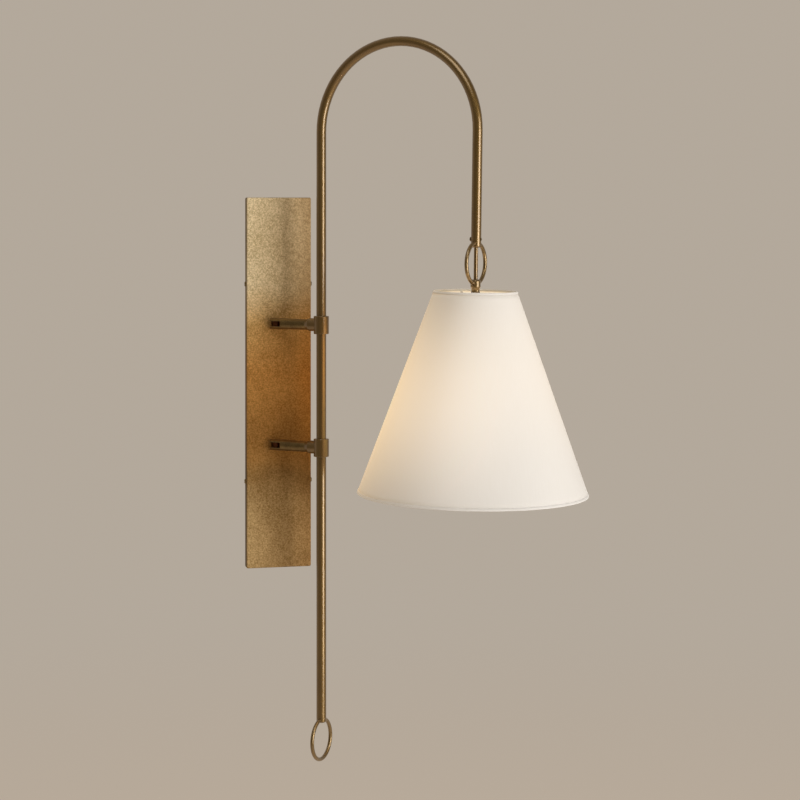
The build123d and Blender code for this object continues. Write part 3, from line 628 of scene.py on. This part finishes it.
def wovenCloth(name, look):
    # plain weave: warp threads along the flat cut's y, weft along its x, with slubs
    material, tree, shader = principled(name)
    setInputs(shader, look["shine"])
    uv = addNode(tree, "UVMap", (-1800, 200), uv_map="cut")
    stretch = addNode(tree, "Mapping", (-1800, -150), {"Scale": look["slubStretch"]})
    slub = addNode(tree, "TexNoise", (-1600, -150), look["slubs"])
    wobble = addNode(tree, "Mix", (-1400, 100), {"Factor": look["wander"]}, data_type="VECTOR")
    split = addNode(tree, "SeparateXYZ", (-1200, 100))
    tree.links.new(uv.outputs["UV"], stretch.inputs["Vector"])
    tree.links.new(stretch.outputs["Vector"], slub.inputs["Vector"])
    tree.links.new(uv.outputs["UV"], wobble.inputs["A"])
    tree.links.new(slub.outputs["Color"], wobble.inputs["B"])
    tree.links.new(wobble.outputs["Result"], split.inputs["Vector"])

    def threads(axis, perMetre, place):
        times = addNode(tree, "Math", (-1000, place), {1: perMetre * 2 * math.pi},
                        operation="MULTIPLY")
        wave = addNode(tree, "Math", (-800, place), operation="SINE")
        tree.links.new(split.outputs[axis], times.inputs[0])
        tree.links.new(times.outputs["Value"], wave.inputs[0])
        return wave

    warp = threads("X", look["threadsPerMetre"], 200)
    weft = threads("Y", look["crossThreadsPerMetre"], 0)
    both = addNode(tree, "Mix", (-600, 100), {"Factor": look["crossShare"]}, data_type="FLOAT")
    level = addNode(tree, "MapRange", (-400, 100), {
        "From Min": -1.0, "To Min": 1.0 - look["weaveDepth"]})
    thinSlub, thickSlub = look["slubLevels"]
    slubMap = addNode(tree, "MapRange", (-400, -150), {
        "From Min": thinSlub, "From Max": thickSlub, "To Min": look["thinnest"]})
    thick = addNode(tree, "Math", (-200, 0), operation="MULTIPLY")
    colour = addNode(tree, "Mix", (0, 150), {
        "A": (*look["gap"], 1), "B": (*look["thread"], 1)}, data_type="RGBA")
    bump = addNode(tree, "Bump", (100, -350), look["bump"])
    tree.links.new(warp.outputs["Value"], both.inputs["A"])
    tree.links.new(weft.outputs["Value"], both.inputs["B"])
    tree.links.new(both.outputs["Result"], level.inputs["Value"])
    tree.links.new(slub.outputs["Fac"], slubMap.inputs["Value"])
    tree.links.new(level.outputs["Result"], thick.inputs[0])
    tree.links.new(slubMap.outputs["Result"], thick.inputs[1])
    tree.links.new(thick.outputs["Value"], colour.inputs["Factor"])
    tree.links.new(thick.outputs["Value"], bump.inputs["Height"])
    tree.links.new(colour.outputs["Result"], shader.inputs["Base Color"])
    tree.links.new(bump.outputs["Normal"], shader.inputs["Normal"])
    tree.links.new(lightThrough(tree, look, thick.outputs["Value"]),
                   shader.inputs["Emission Color"])
    return material


clothMaterial = wovenCloth("shadeWeave", clothLook)
bindingMaterial = wovenCloth("bindingWeave", bindingLook)
lining = speckled("shadeLining", liningLook)
# painted light: the lining glows warm with emission, in place of the bulb's light falling on the
# inside of the shade
setInputs(lining.node_tree.nodes["Principled BSDF"], {
    "Emission Color": (*liningLook["glow"], 1), "Emission Strength": 1.0})


def shadeCloth():
    # cone of cloth: a ring at the top edge, pushed down and out row by row
    bm = bmesh.new()
    start = shadeSize["clothInset"]
    step = (shadeSize["height"] - 2 * start) / shadeSize["rows"]
    ring = bmesh.ops.create_circle(
        bm, segments=shadeSize["columns"], radius=shadeRadius(start) - shadeSize["clothInset"])
    bmesh.ops.translate(bm, verts=ring["verts"], vec=(0, 0, -shadeSize["drop"] - start))
    edges = list(bm.edges)
    for row in range(shadeSize["rows"]):
        grown = bmesh.ops.extrude_edge_only(bm, edges=edges)["geom"]
        verts = [item for item in grown if isinstance(item, bmesh.types.BMVert)]
        edges = [item for item in grown if isinstance(item, bmesh.types.BMEdge)]
        before = shadeRadius(start + row * step) - shadeSize["clothInset"]
        after = shadeRadius(start + (row + 1) * step) - shadeSize["clothInset"]
        bmesh.ops.scale(bm, vec=(after / before, after / before, 1), verts=verts)
        bmesh.ops.translate(bm, vec=(0, 0, -step), verts=verts)
    turnOutwards(bm)
    paintCloth(bm, shadeSize["seamTurn"] + math.pi)
    return bm


cloth = finishPiece("shadeCloth", shadeCloth(), [clothMaterial, lining])
backing = cloth.modifiers.new("backing", "SOLIDIFY")
backing.thickness = shadeSize["clothThickness"]
backing.offset = -1.0
backing.material_offset = 1             # the lining on the inside
backing.material_offset_rim = 0
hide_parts("shade")

bindingSize = {
    "height": 0.0030,
    "thickness": 0.00045,
    "slack": 0.0001,                # room for the cloth between the tape's two sides
    # points over the fold, outside first: shares of the way in and of the height
    "fold": ((0.0, 1.0), (0.0, 0.4), (0.0, 0.16), (0.10, 0.05), (0.30, 0.0), (0.70, 0.0),
             (0.90, 0.05), (1.0, 0.16), (1.0, 0.5), (1.0, 1.0)),
    "grooveDepth": 0.3,             # share of the height where the cloth's groove ends
    "mergeWithin": 1e-6,
}


def edgeBinding(edge, way):
    # folded tape over a cut edge: its section is drawn at local x, then spun round the leg's line
    tall = bindingSize["height"]
    thickness = bindingSize["thickness"]
    inside = 2 * thickness + shadeSize["clothThickness"] + bindingSize["slack"]
    groove = bindingSize["grooveDepth"] * tall

    def place(inset, down):
        return (shadeRadius(edge + way * down) - inset, 0, -shadeSize["drop"] - edge - way * down)

    section = [place(inset * inside, down * tall) for inset, down in bindingSize["fold"]]
    section += [place(inside - thickness, tall), place(inside - thickness, groove),
                place(thickness, groove), place(thickness, tall)]
    bm = bmesh.new()
    verts = [bm.verts.new(point) for point in section]
    edges = [bm.edges.new((verts[i], verts[(i + 1) % len(verts)])) for i in range(len(verts))]
    bmesh.ops.spin(bm, geom=verts + edges, cent=(0, 0, 0), axis=(0, 0, 1), dvec=(0, 0, 0),
                   angle=2 * math.pi, steps=shadeSize["columns"], use_merge=True)
    bmesh.ops.remove_doubles(bm, verts=bm.verts, dist=bindingSize["mergeWithin"])
    bmesh.ops.recalc_face_normals(bm, faces=bm.faces)
    paintCloth(bm, shadeSize["seamTurn"] + math.pi)
    return bm


topBinding = finishPiece("topBinding", edgeBinding(0.0, 1), [bindingMaterial])
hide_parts("top_hem")
bottomBinding = finishPiece("bottomBinding", edgeBinding(shadeSize["height"], -1),
                            [bindingMaterial])
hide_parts("bottom_hem")

seamSize = {
    "width": 0.010,
    "thickness": 0.00035,
    "lift": 0.00005,                # off the cloth, so the two faces don't lie in each other
    "columns": 4,
}


def backSeam():
    # the cloth's glued lap down the back: a narrow strip on the cone from binding to binding
    bm = bmesh.new()
    top = bindingSize["height"]
    bottom = shadeSize["height"] - bindingSize["height"]
    strip = bmesh.ops.create_grid(bm, x_segments=seamSize["columns"],
                                  y_segments=shadeSize["rows"], size=0.5)["verts"]
    for vert in strip:
        down = top + (0.5 - vert.co.y) * (bottom - top)
        radius = shadeRadius(down) - shadeSize["clothInset"] + seamSize["lift"]
        turn = shadeSize["seamTurn"] + vert.co.x * seamSize["width"] / radius
        vert.co = (radius * math.cos(turn), radius * math.sin(turn), -shadeSize["drop"] - down)
    turnOutwards(bm)
    paintCloth(bm, shadeSize["seamTurn"])
    return bm


seam = finishPiece("backSeam", backSeam(), [clothMaterial])
lap = seam.modifiers.new("lap", "SOLIDIFY")
lap.thickness = seamSize["thickness"]
lap.offset = 1.0

print("stage 4: shade cloth, bindings and seam")

bulbLightLook = {
    "drop": 0.3051,                 # from the arch's end down to the globe's middle
    "softRadius": 0.031,
    "power": 2.6,
    "colour": (1.0, 0.72, 0.44),
}
bulbData = bpy.data.lights.new("bulbLight", "POINT")
bulbData.energy = bulbLightLook["power"]
bulbData.color = bulbLightLook["colour"]
bulbData.shadow_soft_size = bulbLightLook["softRadius"]
bulbLight = bpy.data.objects.new("bulbLight", bulbData)
bulbLight.location = legFrame @ Vector((0, 0, -bulbLightLook["drop"]))
bulbLight.visible_camera = False
bpy.context.scene.collection.objects.link(bulbLight)
bulbLight.parent = frame["bodies"]["lamp"]      # the light stays in the bulb at every pose

# the warm light that leaves the cloth towards the rod and the plate
warmLightLook = {
    "drop": 0.32,
    "rod": (0.0436, -0.0648),
    "gap": 0.004,                   # in front of the cloth
    "size": (0.10, 0.15),
    "power": 0.05,
    "colour": (1.0, 0.52, 0.16),
}
shadeMiddle = legFrame @ Vector((0, 0, -warmLightLook["drop"]))
towardsRod = Vector((*warmLightLook["rod"], shadeMiddle.z)) - shadeMiddle
clothRadius = shadeRadius(warmLightLook["drop"] - shadeSize["drop"])
warmPlace = shadeMiddle + towardsRod.normalized() * (clothRadius + warmLightLook["gap"])
warmLight = addAreaLight("warmLight", warmLightLook, warmPlace, towardsRod)
warmLight.parent = frame["bodies"]["lamp"]
print("stage 5: bulb light and warm light")
